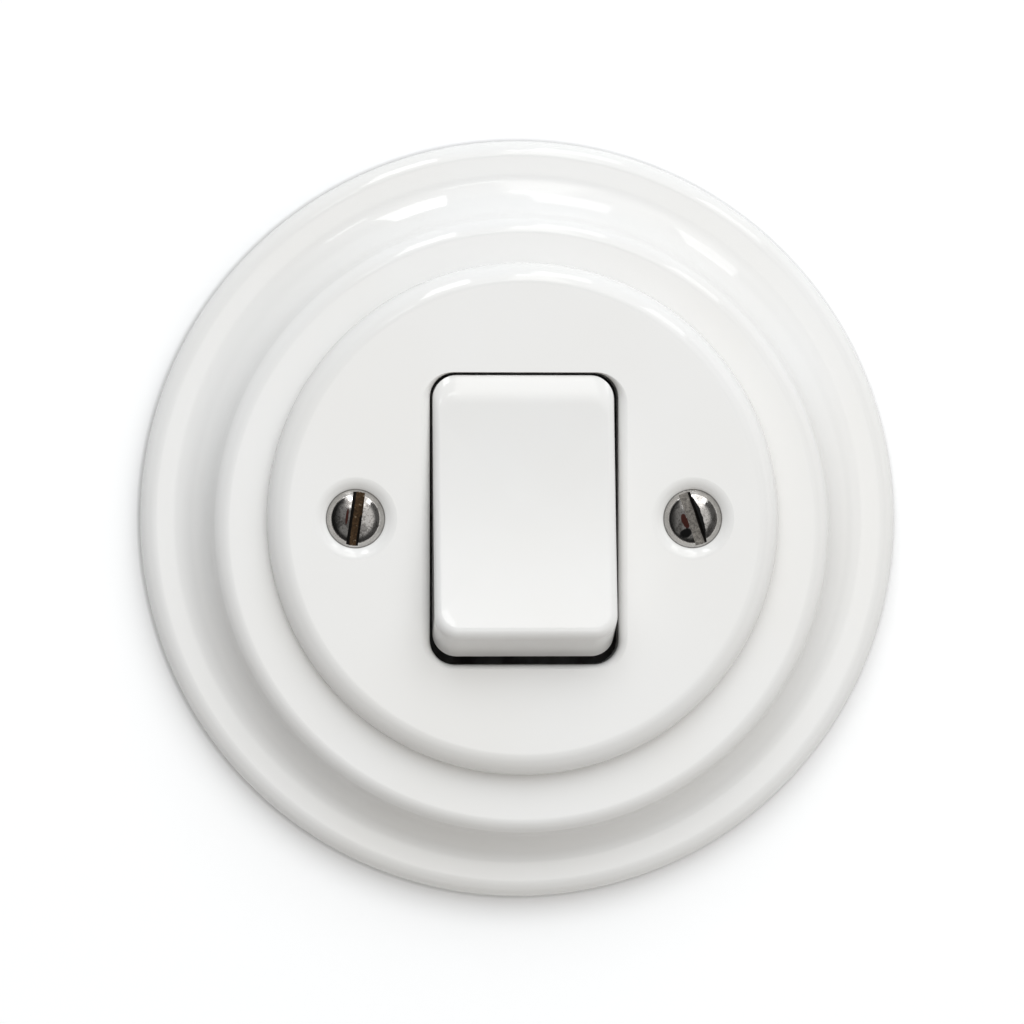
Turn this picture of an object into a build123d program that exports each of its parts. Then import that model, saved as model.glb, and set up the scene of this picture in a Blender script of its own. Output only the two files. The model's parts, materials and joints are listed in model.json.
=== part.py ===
from build123d import *
import os
from math import cos, radians, sin, tan

# Porcelain rocker switch for a round wall box: a stepped ring, a domed-edge plate, a rocking key
# and the two-way mechanism behind them. X runs right, Z up and Y into the wall.
# The origin lies on the wall plane, behind the middle of the plate.
# A height is measured from the wall plane towards the viewer (y = -height), a depth into the wall (y = depth).
# Lengths are in millimetres and angles in degrees.

# Rocking key
key_width = 23.7
key_face_length = 34.5          # between the sharp ends of the front face
key_corner = 3.1                # rounding of the four corners, seen from the front
key_edge = 1.8                  # rounding round the front face
key_wall = 2.5                  # side walls
key_end_wall = 3.0
key_face_wall = 3.0
key_skirt_drop = 7.1            # from the front face back to the skirt's edge
swing = 11.0                    # each way from the middle position
pivot_depth = 5.7               # pivot line behind the plate's front
key_side_gap = 0.45
key_end_gap = 0.3

# Centre plate
plate_rise = 3.8                # front above the ring's shoulder
plate_edge = 3.0                # rounding of the outer edge; a smaller one below it takes the rest of the rise
plate_thickness = 4.4
opening_edge = 1.6              # rounding of the opening's front edge
opening_corner_gap = 0.1        # added to the key's corner rounding
screw_web = 9.7                 # from the opening's side to the screw's centre
screw_to_edge = 11.5            # from the screw's centre to the plate's edge
ledge_width = 2.5               # how far the plate laps over the shoulder
spigot_drop = 2.0
spigot_wall = 3.0
spigot_gap = 0.3

# Frame ring, from the rim inwards
rim_height = 4.64
rim_round = 2.6
rim_flat = 0.5
sweep_radius = 6.9              # hollow sweep between rim and step
riser_angle = 72.0              # steepest slope, where sweep and step meet
brow_radius = 2.2               # rounding of the step
foot_inset = 1.5                # how far the rim is drawn in at the wall
foot_width = 7.0
shoulder_thickness = 4.4
cavity_wall = 1.6               # upright part of the cavity's wall
cavity_slope = 4.5              # radial width of the cavity's sloped wall

# Cover screws, raised countersunk with a slot, and the threaded bushes that take them
screw_head_radius = 3.75
screw_dome = 1.25
screw_radius = 1.95
screw_slot = 1.05
screw_slot_depth = 1.3
screw_slot_lean = (8.0, -19.0)  # left and right slots as they were left, from upright towards +X
screw_hole_gap = 0.35
screw_fit = 0.05
screw_tip = 0.4                 # tip above the wall plane
countersink_round = 1.3         # glaze-softened mouth of the countersink
countersink_drop = 0.33         # cone left bare above the screw's head
bush_radius = 3.4
bush_length = 4.5
bush_spigot = 2.7

# Yoke, bent from sheet steel
sheet = 1.5
box_screw_spacing = 60.0
slot_length = 7.0
slot_half_width = 1.8
slot_to_rim = 5.5
yoke_to_ring = 4.0
yoke_end_margin = 5.0
bend_radius = 0.8
lug_foot = 3.0                  # sheet that stays with a lug beside its bend
lug_gap = 0.45                  # lug to the key's inner wall
window_margin = 4.2

# Rocker pins and the carrier inside the key
pin_radius = 1.2
pin_head_radius = 2.2
pin_head = 0.6
pin_journal = 3.4
pin_fit = 0.05
pin_seat = 0.02
lug_wall = 1.2
carrier_side_play = 0.3
carrier_gap = 0.15
carrier_head_gap = 0.5
carrier_corner = 1.2
boss_radius = 3.0
nozzle_radius = 3.4
nozzle_clear = 1.15             # nozzle's end above the wall plane in the middle position
key_notch_gap = 0.4

# Plunger and spring
guide_radius = 2.12
guide_fit = 0.08
guide_length = 4.4
guide_top = 2.6                 # plunger's inner end below the pivot
tip_radius = 1.3
tip_gap = 0.1                   # tip to seesaw in the middle position
spring_top = 4.0                # bore's blind end above the pivot
spring_wire = 0.25
spring_radius = 1.6
spring_turns = 4.5
spring_end_gap = 0.05

# Seesaw contact and its fixed partners
tilt = 7.0                      # seesaw's lean each way
seesaw_depth = 7.0              # its pivot line
seesaw_rise = 1.4               # its front above the pivot line
seesaw_half_width = 3.0
seesaw_strip = 1.0
seesaw_overhang = 1.6
ear_radius = 1.8
seesaw_pin_radius = 0.8
seesaw_pin_head = 1.2
seesaw_pin_head_length = 0.5
ear_gap = 0.3
tip_reach = 11.0
rivet_radius = 1.7
rivet_shank = 0.9
moving_rivet = 1.5
fixed_rivet = 0.7
rivet_dome = 0.45
contact_gap = 0.05
strip_thickness = 1.2
strip_half_width = 4.0
strip_overhang = 3.0
bracket_window = 5.2

# Housing behind the yoke
chamber_side_gap = 3.9
pocket_gap = 0.2
end_wall = 7.0
side_wall = 2.5
terminal_x = 14.0
strip_end = 3.0                 # strip past the terminal screw
strip_end_gap = 0.5
terminal_depth = 9.6
terminal_ledge = 0.8
recess_inner = 3.5              # recess from the terminal screw towards the middle
housing_corner = 3.0
housing_rear_edge = 1.0
insulator = 1.0
insulator_lap_x = 1.0
insulator_lap_z = 1.3
insulator_gap = 0.15
insulator_window_gap = 1.0
saddle_half = 2.8
saddle_thickness = 1.0
saddle_gap = 0.3
saddle_corner = 0.6
terminal_screw_radius = 1.6
terminal_screw_head = 2.6
terminal_screw_head_length = 1.9
terminal_screw_length = 3.8
terminal_slot = 0.8
terminal_slot_depth = 0.9
housing_screw_radius = 1.25
housing_screw_head = 2.4
housing_screw_head_length = 1.6
housing_screw_length = 8.0
housing_screw_inset = 5.0

# Worked-out places, from the middle outwards
s, c = sin(radians(swing)), cos(radians(swing))
key_half = key_width / 2
face_half = key_face_length / 2
face_rise = (pivot_depth + face_half * s) / c        # the pressed end's edge is level with the plate
skirt_rise = face_rise - key_skirt_drop
skirt_half = face_half + key_skirt_drop * tan(radians(swing))
opening_half_x = key_half + key_side_gap
opening_half_z = face_half * c + face_rise * s + key_end_gap
opening_corner = key_corner + opening_corner_gap
screw_x = opening_half_x + screw_web
plate_radius = screw_x + screw_to_edge
bore_radius = plate_radius - ledge_width

riser = radians(riser_angle)
sweep_rise = sweep_radius * (1 - cos(riser))
brow_rise = brow_radius * (1 - cos(riser))
shoulder_height = rim_height + sweep_rise + brow_rise
plate_front = shoulder_height + plate_rise
pivot_height = plate_front - pivot_depth

yoke_radius = box_screw_spacing / 2 + slot_length / 2 + slot_to_rim
cavity_radius = yoke_radius + yoke_to_ring
ring_radius = cavity_radius + foot_width

key_inner = key_half - key_wall
lug_outer = key_inner - lug_gap
lug_inner = lug_outer - sheet
lug_radius = pin_radius + lug_wall
boss_half = lug_inner - carrier_side_play
bore_guide = guide_radius + guide_fit
nozzle_end = pivot_height - nozzle_clear
seesaw_front = seesaw_depth - seesaw_rise
plunger_tip = pivot_height + seesaw_front - tip_gap

t_s, t_c = sin(radians(tilt)), cos(radians(tilt))
dome_offset = seesaw_strip - seesaw_rise + moving_rivet  # moving dome behind the seesaw's pivot
contact_z = tip_reach * t_c - dome_offset * t_s
strip_front = seesaw_depth + dome_offset * t_c + tip_reach * t_s + contact_gap + fixed_rivet
floor_depth = strip_front + strip_thickness
bracket_inner = seesaw_half_width + ear_gap
bracket_outer = bracket_inner + strip_thickness
chamber_half_x = bracket_outer + seesaw_pin_head_length + chamber_side_gap
pocket_half_z = strip_half_width + pocket_gap
chamber_half_z = contact_z + pocket_half_z
pocket_end = terminal_x + strip_end + strip_end_gap
housing_half_x = pocket_end + side_wall
housing_half_z = chamber_half_z + end_wall
housing_depth = floor_depth + terminal_depth
insulator_half_x = pocket_end + insulator_lap_x
insulator_half_z = chamber_half_z + insulator_lap_z
recess_half_z = strip_half_width - terminal_ledge
terminals = ((-terminal_x, 0.0), (terminal_x, contact_z), (terminal_x, -contact_z))
housing_screw_x = housing_half_x - housing_screw_inset
housing_screw_z = (insulator_half_z + insulator_gap + housing_half_z) / 2
spill = 2.0                     # how far a cutting tool reaches past the face that it opens


def at(radius, height):
    """Point of a turned profile: radius from the axis and height in front of the wall plane."""
    return (radius, -height)


def front_plane(height):
    """Plane parallel to the wall at this height. Extruding from it goes towards the viewer."""
    return Plane.XZ.offset(height)


def slab(half_x, half_z, low, high, corner=0.0):
    """Plate parallel to the wall between two heights, with its corners rounded."""
    outline = Rectangle(2 * half_x, 2 * half_z)
    if corner:
        outline = fillet(outline.vertices(), corner)
    return extrude(front_plane(low) * outline, high - low)


def post(radius, low, high, x=0.0, z=0.0):
    """Round bar along Y between two heights."""
    return extrude(front_plane(low) * Pos(x, z) * Circle(radius), high - low)


def cross_bar(radius, left, right, depth=0.0, z=0.0):
    """Round bar along X between two places."""
    return extrude(Plane.YZ.offset(left) * Pos(depth, z) * Circle(radius), right - left)


def both_sides(shape):
    """The shape and its mirror image across the middle."""
    return [shape, mirror(shape, Plane.YZ)]


def rest_key(shape):
    """Turns a piece of the key, drawn round the pivot, to rest with the key's top pressed in."""
    return Pos(0, -pivot_height, 0) * Rot(-swing, 0, 0) * shape


def rest_seesaw(shape):
    """Turns a piece of the seesaw, drawn round its pivot, to rest with its lower end on its contact."""
    return Pos(0, seesaw_depth, 0) * Rot(tilt, 0, 0) * shape


def dome_middle(rim, rise):
    """Halfway out along a ball-shaped dome: the radius there and the height above the dome's rim."""
    ball = (rim**2 + rise**2) / (2 * rise)
    return rim / 2, rise - ball + (ball**2 - (rim / 2) ** 2) ** 0.5


def frame_ring():
    rim_start = ring_radius - rim_round
    sweep_end = rim_start - rim_flat
    brow_end = sweep_end - sweep_radius * sin(riser)
    brow_start = brow_end - brow_radius * sin(riser)
    ceiling = shoulder_height - shoulder_thickness
    with BuildPart() as ring:
        with BuildSketch(Plane.XY):
            with BuildLine():
                Line(at(bore_radius, shoulder_height), at(brow_start, shoulder_height))
                TangentArc(
                    at(brow_start, shoulder_height),
                    at(brow_end, shoulder_height - brow_rise),
                    tangent=(1, 0),
                )
                TangentArc(
                    at(brow_end, shoulder_height - brow_rise),
                    at(sweep_end, rim_height),
                    tangent=(cos(riser), sin(riser)),
                )
                Line(at(sweep_end, rim_height), at(rim_start, rim_height))
                TangentArc(
                    at(rim_start, rim_height),
                    at(ring_radius, rim_height - rim_round),
                    tangent=(1, 0),
                )
                Polyline(
                    at(ring_radius, rim_height - rim_round),
                    at(ring_radius - foot_inset, 0),
                    at(cavity_radius, 0),
                    at(cavity_radius, cavity_wall),
                    at(cavity_radius - cavity_slope, ceiling),
                    at(bore_radius, ceiling),
                    at(bore_radius, shoulder_height),
                )
            make_face()
        revolve(axis=Axis.Y)
    return ring.part


def countersink():
    """Cutting tool for a screw hole: a softened mouth, a cone for the head and a clear bore."""
    mouth = screw_head_radius + countersink_drop + countersink_round * sin(radians(45))
    cone_top = plate_front - countersink_round * (1 - cos(radians(45)))
    cone_radius = screw_head_radius + countersink_drop
    hole = screw_radius + screw_hole_gap
    with BuildPart() as tool:
        with BuildSketch(Plane.XY):
            with BuildLine():
                TangentArc(at(mouth, plate_front), at(cone_radius, cone_top), tangent=(-1, 0))
                Polyline(
                    at(cone_radius, cone_top),
                    at(hole, cone_top - cone_radius + hole),
                    at(hole, shoulder_height - spigot_drop - spill),
                    at(0, shoulder_height - spigot_drop - spill),
                    at(0, plate_front + spill),
                    at(mouth, plate_front + spill),
                    at(mouth, plate_front),
                )
            make_face()
        revolve(axis=Axis.Y)
    return tool.part


def centre_plate():
    spigot_radius = bore_radius - spigot_gap
    spigot_end = shoulder_height - spigot_drop
    underside = plate_front - plate_thickness
    edge_start = plate_radius - plate_edge
    edge_end = plate_front - plate_edge
    ledge_end = plate_radius - (edge_end - shoulder_height)
    with BuildPart() as body:
        with BuildSketch(Plane.XY):
            with BuildLine():
                Line(at(0, plate_front), at(edge_start, plate_front))
                TangentArc(at(edge_start, plate_front), at(plate_radius, edge_end), tangent=(1, 0))
                TangentArc(at(plate_radius, edge_end), at(ledge_end, shoulder_height), tangent=(0, 1))
                Polyline(
                    at(ledge_end, shoulder_height),
                    at(spigot_radius, shoulder_height),
                    at(spigot_radius, spigot_end),
                    at(spigot_radius - spigot_wall, spigot_end),
                    at(spigot_radius - spigot_wall, underside),
                    at(0, underside),
                    at(0, plate_front),
                )
            make_face()
        revolve(axis=Axis.Y)
    opening = slab(opening_half_x, opening_half_z, spigot_end - spill, plate_front + spill, opening_corner)
    plate = body.part - opening
    front_edges = plate.edges().group_by(Axis.Y)[0]
    mouth = front_edges.filter_by(lambda edge: edge.length < plate_radius * 2)
    plate = fillet(mouth, opening_edge)
    return plate - both_sides(Pos(screw_x, 0, 0) * countersink())


def cover_screws():
    """Left and right screws. Each head's cone lies in its countersink, with the dome above the plate."""
    head_top = plate_front - countersink_round * (1 - cos(radians(45))) - countersink_drop
    neck = head_top - screw_head_radius + screw_radius
    dome_top = head_top + screw_dome
    with BuildPart() as blank:
        with BuildSketch(Plane.XY):
            with BuildLine():
                Polyline(
                    at(0, dome_top),
                    at(0, screw_tip),
                    at(screw_radius, screw_tip),
                    at(screw_radius, neck),
                    at(screw_head_radius, head_top),
                )
                middle, rise = dome_middle(screw_head_radius, screw_dome)
                ThreePointArc(at(screw_head_radius, head_top), at(middle, head_top + rise), at(0, dome_top))
            make_face()
        revolve(axis=Axis.Y)
    slot = slab(screw_slot / 2, screw_head_radius + spill, dome_top - screw_slot_depth, dome_top + spill)
    screws = []
    for x, lean in zip((-screw_x, screw_x), screw_slot_lean):
        screws.append(Pos(x, 0, 0) * Rot(0, lean, 0) * (blank.part - slot))
    return screws


def cover_bushes():
    bush = post(bush_spigot, 0, sheet) + post(bush_radius, sheet, sheet + bush_length)
    bush -= post(screw_radius + screw_fit, -spill, sheet + bush_length + spill)
    return both_sides(Pos(screw_x, 0, 0) * bush)


def yoke():
    """Strap with round ends, two slots for the box screws and two lugs bent forward for the key."""
    half_z = housing_half_z + yoke_end_margin
    strap = post(yoke_radius, 0, sheet) & slab(yoke_radius, half_z, 0, sheet)
    nozzle_reach = nozzle_end * s + nozzle_radius
    strap -= slab(lug_inner, nozzle_reach + window_margin, -spill, sheet + spill)
    lug_end = lug_outer + lug_foot
    lug_top = pivot_height + lug_radius
    for side in (-1, 1):
        slot = front_plane(-spill) * Pos(side * box_screw_spacing / 2, 0)
        slot *= SlotOverall(slot_length, 2 * slot_half_width)
        strap -= extrude(slot, sheet + 2 * spill)
        strap -= post(bush_spigot + pin_seat, -spill, sheet + spill, side * screw_x)
        foot_room = Pos(side * (lug_inner + lug_end) / 2, -sheet / 2, 0)
        strap -= foot_room * Box(lug_end - lug_inner, sheet, 2 * lug_radius)
        for end in (-1, 1):
            place = (side * housing_screw_x, end * housing_screw_z)
            strap -= post(housing_screw_radius + screw_hole_gap, -spill, sheet + spill, *place)
    profile = Polygon(
        at(lug_inner, 0),
        at(lug_end, 0),
        at(lug_end, sheet),
        at(lug_outer, sheet),
        at(lug_outer, lug_top),
        at(lug_inner, lug_top),
        align=None,
    )
    corners = profile.vertices()
    inner_bend = corners.sort_by_distance((lug_outer, -sheet))[0]
    profile = fillet(inner_bend, bend_radius)
    outer_bend = profile.vertices().sort_by_distance((lug_inner, 0))[0]
    profile = fillet(outer_bend, bend_radius + sheet)
    lug = extrude(profile, lug_radius, both=True)
    top_edges = lug.edges().filter_by(Axis.X).group_by(Axis.Y)[0]
    lug = fillet(top_edges, lug_radius - pin_seat)
    lug -= cross_bar(pin_radius + pin_seat, 0, lug_end, -pivot_height)
    return strap + both_sides(lug)


def rocker_key():
    outline = Polygon(
        at(-face_rise, -face_half),
        at(-skirt_rise, -skirt_half),
        at(-skirt_rise, skirt_half),
        at(-face_rise, face_half),
        align=None,
    )
    key = extrude(Plane.YZ * outline, key_half, both=True)
    corners = key.edges().filter_by(lambda edge: abs(edge.tangent_at(0.5).Y) > 0.5)
    key = fillet(corners, key_corner)
    key = fillet(key.edges().group_by(Axis.Y)[0], key_edge)
    key -= slab(
        key_inner,
        face_half - key_end_wall,
        skirt_rise - spill,
        face_rise - key_face_wall,
        carrier_corner + carrier_gap,
    )
    notch = cross_bar(pin_head_radius + key_notch_gap, -key_width, key_width)
    return rest_key(key - notch)


def rocker_carrier():
    """Block that fills the key's hollow, with a boss on the pins and a nozzle for the plunger."""
    low = lug_radius + carrier_head_gap
    block_half_z = face_half - key_end_wall - carrier_gap
    block_top = face_rise - key_face_wall
    carrier = slab(key_inner - carrier_gap, block_half_z, low, block_top, carrier_corner)
    carrier += slab(boss_half, boss_radius, 0, low)
    carrier += cross_bar(boss_radius, -boss_half, boss_half)
    carrier += post(nozzle_radius, -nozzle_end, low)
    carrier -= post(bore_guide, -nozzle_end - spill, spring_top)
    bearing = cross_bar(pin_radius + pin_fit, lug_inner - pin_journal - pin_fit, lug_outer)
    return rest_key(carrier - both_sides(bearing))


def rocker_pins():
    pin = cross_bar(pin_radius, lug_inner - pin_journal, lug_outer + pin_head, -pivot_height)
    pin += cross_bar(pin_head_radius, lug_outer, lug_outer + pin_head, -pivot_height)
    return both_sides(pin)


def plunger():
    guide_end = guide_top + guide_length
    with BuildPart() as body:
        with BuildSketch(Plane.XY):
            with BuildLine():
                Polyline(
                    (0, plunger_tip),
                    (0, guide_top),
                    (guide_radius, guide_top),
                    (guide_radius, guide_end),
                    (tip_radius, guide_end + guide_radius - tip_radius),
                    (tip_radius, plunger_tip - tip_radius),
                )
                TangentArc((tip_radius, plunger_tip - tip_radius), (0, plunger_tip), tangent=(0, 1))
            make_face()
        revolve(axis=Axis.Y)
    return rest_key(body.part)


def plunger_spring():
    length = spring_top + guide_top - 2 * (spring_end_gap + spring_wire)
    coil = Helix(pitch=length / spring_turns, height=length, radius=spring_radius)
    wire = Plane(origin=coil @ 0, z_dir=coil % 0) * Circle(spring_wire)
    spring = sweep(wire, path=coil, is_frenet=True)
    start = guide_top - spring_end_gap - spring_wire
    return rest_key(Pos(0, start, 0) * Rot(90, 0, 0) * spring)


def rivet(height, shank):
    """Contact rivet standing on y = 0 with its shank before it, domed on its free end."""
    straight = height - rivet_dome
    with BuildPart() as body:
        with BuildSketch(Plane.XY):
            with BuildLine():
                Polyline(
                    (0, height),
                    (0, -shank),
                    (rivet_shank, -shank),
                    (rivet_shank, 0),
                    (rivet_radius, 0),
                    (rivet_radius, straight),
                )
                middle, rise = dome_middle(rivet_radius, rivet_dome)
                ThreePointArc((rivet_radius, straight), (middle, straight + rise), (0, height))
            make_face()
        revolve(axis=Axis.Y)
    return body.part


def contact_seesaw():
    half_z = tip_reach + seesaw_overhang
    strip = slab(seesaw_half_width, half_z, seesaw_rise - seesaw_strip, seesaw_rise, seesaw_overhang)
    for side in (-1, 1):
        inner = side * (seesaw_half_width - seesaw_strip)
        left, right = sorted((inner, side * seesaw_half_width))
        ear = cross_bar(ear_radius, left, right)
        ear += Pos((left + right) / 2, -seesaw_rise / 2, 0) * Box(seesaw_strip, seesaw_rise, 2 * ear_radius)
        strip += ear
    strip -= cross_bar(seesaw_pin_radius + pin_fit, -seesaw_half_width - spill, seesaw_half_width + spill)
    for z in (-tip_reach, tip_reach):
        strip -= post(rivet_shank + pin_seat, -spill, seesaw_rise + spill, 0, z)
    return rest_seesaw(strip)


def moving_tips():
    tip = Pos(0, seesaw_strip - seesaw_rise, 0) * rivet(moving_rivet, seesaw_strip)
    return [rest_seesaw(Pos(0, 0, z) * tip) for z in (-tip_reach, tip_reach)]


def fixed_tips():
    tip = Rot(180, 0, 0) * rivet(fixed_rivet, strip_thickness)
    return [Pos(0, strip_front, z) * tip for z in (-contact_z, contact_z)]


def seesaw_pin():
    pin = cross_bar(seesaw_pin_radius, -bracket_outer, bracket_outer, seesaw_depth)
    for side in (-1, 1):
        left, right = sorted((side * bracket_outer, side * (bracket_outer + seesaw_pin_head_length)))
        pin += cross_bar(seesaw_pin_head, left, right, seesaw_depth)
    return pin


def contact_strip(left, right, z=0.0):
    """Flat strip on the chamber's floor."""
    outline = Pos((left + right) / 2, z) * Rectangle(right - left, 2 * strip_half_width)
    return extrude(front_plane(-floor_depth) * outline, strip_thickness)


def throw_contact(z):
    """Strip from under a moving tip to its terminal on the right."""
    strip = contact_strip(-strip_overhang, terminal_x + strip_end, z)
    strip -= post(rivet_shank + pin_seat, -floor_depth - spill, -strip_front + spill, 0, z)
    return strip - post(terminal_screw_radius + screw_fit, -floor_depth - spill, 0, terminal_x, z)


def common_contact():
    """Strip from the left terminal, with two ears that carry the seesaw's pin."""
    strip = contact_strip(-terminal_x - strip_end, bracket_outer)
    window = Pos(bracket_window / 2 - bracket_inner, strip_front, 0)
    strip -= window * Box(bracket_window, 2 * strip_thickness + spill, 2 * ear_radius)
    for side in (-1, 1):
        left, right = sorted((side * bracket_inner, side * bracket_outer))
        ear = cross_bar(ear_radius, left, right, seesaw_depth)
        rise = floor_depth - seesaw_depth
        foot = Pos((left + right) / 2, seesaw_depth + rise / 2, 0)
        ear += foot * Box(strip_thickness, rise, 2 * ear_radius)
        strip += ear
    strip -= cross_bar(seesaw_pin_radius + pin_seat, -bracket_outer, bracket_outer, seesaw_depth)
    return strip - post(terminal_screw_radius + screw_fit, -floor_depth - spill, 0, -terminal_x)


def insulating_plate():
    plate = slab(insulator_half_x, insulator_half_z, -insulator, 0)
    window_x = guide_radius + insulator_window_gap
    window_z = (pivot_height + insulator) * s + guide_radius + insulator_window_gap
    return plate - slab(window_x, window_z, -insulator - spill, spill)


def housing():
    """Moulded block with a chamber for the seesaw, pockets for the strips and open terminal recesses."""
    block = slab(housing_half_x, housing_half_z, -housing_depth, 0, housing_corner)
    block = fillet(block.edges().group_by(Axis.Y)[-1], housing_rear_edge)
    rebate_x = insulator_half_x + insulator_gap
    rebate_z = insulator_half_z + insulator_gap
    block -= slab(rebate_x, rebate_z, -insulator, spill)
    block -= slab(chamber_half_x, chamber_half_z, -floor_depth, spill)
    for x, z in terminals:
        side = 1 if x > 0 else -1
        pocket = Pos(side * pocket_end / 2, 0, z) * slab(pocket_end / 2, pocket_half_z, -floor_depth, spill)
        block -= pocket
        reach = housing_half_x + spill - abs(x) + recess_inner
        middle = x + side * (reach / 2 - recess_inner)
        block -= Pos(middle, 0, z) * slab(reach / 2, recess_half_z, -housing_depth - spill, -floor_depth)
    hole_end = -housing_screw_length - spill
    for x in (-housing_screw_x, housing_screw_x):
        for z in (-housing_screw_z, housing_screw_z):
            block -= post(housing_screw_radius + screw_fit, hole_end, spill, x, z)
    return block


def slotted_screw(radius, length, head_radius, head_length, slot, slot_depth):
    """Round-head screw along Y with its head in front of height 0 and its shank behind it."""
    screw = post(head_radius, 0, head_length) + post(radius, -length, 0)
    return screw - slab(slot / 2, head_radius + spill, head_length - slot_depth, head_length + spill)


def housing_screws():
    head = (housing_screw_head, housing_screw_head_length, terminal_slot, terminal_slot_depth)
    screw = slotted_screw(housing_screw_radius, housing_screw_length + sheet, *head)
    places = [(x, z) for x in (-housing_screw_x, housing_screw_x) for z in (-housing_screw_z, housing_screw_z)]
    return [Pos(x, -sheet, z) * screw for x, z in places]


def terminal_screws():
    """Screws with their heads to the rear, each through its saddle into its strip."""
    head = (terminal_screw_head, terminal_screw_head_length, terminal_slot, terminal_slot_depth)
    screw = slotted_screw(terminal_screw_radius, terminal_screw_length, *head)
    return [Pos(x, floor_depth + saddle_thickness, z) * Rot(180, 0, 0) * screw for x, z in terminals]


def terminal_saddles():
    saddle = slab(saddle_half, recess_half_z - saddle_gap, -saddle_thickness, 0, saddle_corner)
    saddle -= post(terminal_screw_radius + screw_hole_gap, -saddle_thickness - spill, spill)
    return [Pos(x, floor_depth, z) * saddle for x, z in terminals]


nodes = {
    "frame_ring": frame_ring,
    "centre_plate": centre_plate,
    "rocker_key": rocker_key,
    "rocker_carrier": rocker_carrier,
    "rocker_pins": rocker_pins,
    "cover_screws": cover_screws,
    "cover_bushes": cover_bushes,
    "yoke": yoke,
    "insulating_plate": insulating_plate,
    "housing": housing,
    "housing_screws": housing_screws,
    "common_contact": common_contact,
    "upper_contact": lambda: throw_contact(contact_z),
    "lower_contact": lambda: throw_contact(-contact_z),
    "fixed_tips": fixed_tips,
    "contact_seesaw": contact_seesaw,
    "moving_tips": moving_tips,
    "seesaw_pin": seesaw_pin,
    "terminal_screws": terminal_screws,
    "terminal_saddles": terminal_saddles,
    "plunger": plunger,
    "plunger_spring": plunger_spring,
}

os.makedirs("parts", exist_ok=True)
for name, make in nodes.items():
    shape = make()
    if isinstance(shape, list):
        shape = Compound(children=shape)
    export_step(shape, f"parts/{name}.step")
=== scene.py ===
import json
from math import asin, cos, pi, radians, sin, sqrt, tan

import bmesh
import bpy
from mathutils import Matrix, Vector


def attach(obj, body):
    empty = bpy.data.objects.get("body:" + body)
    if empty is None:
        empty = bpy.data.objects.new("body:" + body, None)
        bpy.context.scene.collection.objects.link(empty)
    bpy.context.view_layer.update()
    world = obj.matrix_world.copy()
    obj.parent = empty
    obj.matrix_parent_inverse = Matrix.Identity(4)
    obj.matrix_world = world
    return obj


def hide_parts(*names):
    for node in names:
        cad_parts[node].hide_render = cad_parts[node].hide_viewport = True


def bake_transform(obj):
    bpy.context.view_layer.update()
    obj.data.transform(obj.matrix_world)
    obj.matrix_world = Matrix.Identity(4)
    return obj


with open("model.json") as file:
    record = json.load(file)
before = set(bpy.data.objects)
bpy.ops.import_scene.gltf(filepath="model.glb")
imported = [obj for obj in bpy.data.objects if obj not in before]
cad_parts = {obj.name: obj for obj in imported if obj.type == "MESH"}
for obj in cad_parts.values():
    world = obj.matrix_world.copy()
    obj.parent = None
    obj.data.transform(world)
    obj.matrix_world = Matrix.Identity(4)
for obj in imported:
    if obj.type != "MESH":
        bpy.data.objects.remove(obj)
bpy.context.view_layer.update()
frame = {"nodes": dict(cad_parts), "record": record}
cadNodes = frame["nodes"]
bodiesOf = frame["record"]["behaviour"]["bodies"]
mm = 0.001  # every setting below is in millimetres and degrees unless it says otherwise
print("frame loaded:", len(cadNodes), "nodes")


# shader maths

class Wire:
    def __init__(self, sheet, socket):
        self.sheet, self.socket = sheet, socket

    def maths(self, operation, first, second):
        return self.sheet.node("ShaderNodeMath", {"operation": operation}, {0: first, 1: second})

    def __add__(self, other):
        return self.maths("ADD", self, other)

    def __sub__(self, other):
        return self.maths("SUBTRACT", self, other)

    def __rsub__(self, other):
        return self.maths("SUBTRACT", other, self)

    def __mul__(self, other):
        return self.maths("MULTIPLY", self, other)

    def __pow__(self, other):
        return self.maths("POWER", self, other)

    __radd__ = __add__
    __rmul__ = __mul__


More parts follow.
